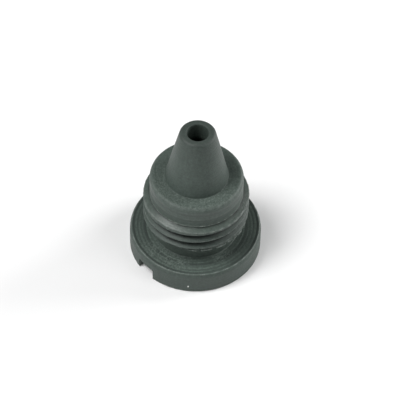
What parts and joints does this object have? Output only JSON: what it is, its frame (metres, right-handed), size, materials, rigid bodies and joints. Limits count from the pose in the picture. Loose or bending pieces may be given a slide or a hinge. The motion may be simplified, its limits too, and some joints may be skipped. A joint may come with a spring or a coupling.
{
  "type": "pneumatic muffler",
  "caption": "Screw-in pneumatic exhaust muffler with a drilled tapered nose, threaded shank, slotted round head and a felt silencing stack held by a spring ring.",
  "frame": {"origin": "centre of the slotted head's underside, on the thread axis", "axes": "+Z along the thread axis from the slotted head to the nose; the driver slot runs along X"},
  "size_m": [0.0164, 0.0164, 0.0207],
  "materials": {
    "body_polymer": "matt moulded and turned, dark greenish grey, dusty on the upward faces",
    "felt": "pressed fibre felt",
    "spring_steel": "phosphated spring steel",
    "plate": "stamped, satin",
    "mesh": "woven stainless wire",
    "spacer": "moulded, satin"
  },
  "bodies": {
    "root": {"muffler_body": "body_polymer", "retaining_ring": "spring_steel", "outlet_plate": "plate", "outlet_screen": "mesh", "felt_disc_outer": "felt", "baffle_plate_outer": "plate", "felt_disc_middle": "felt", "baffle_plate_inner": "plate", "felt_disc_inner": "felt", "inlet_screen": "mesh", "spacer_ring": "spacer"}
  },
  "joints": []
}
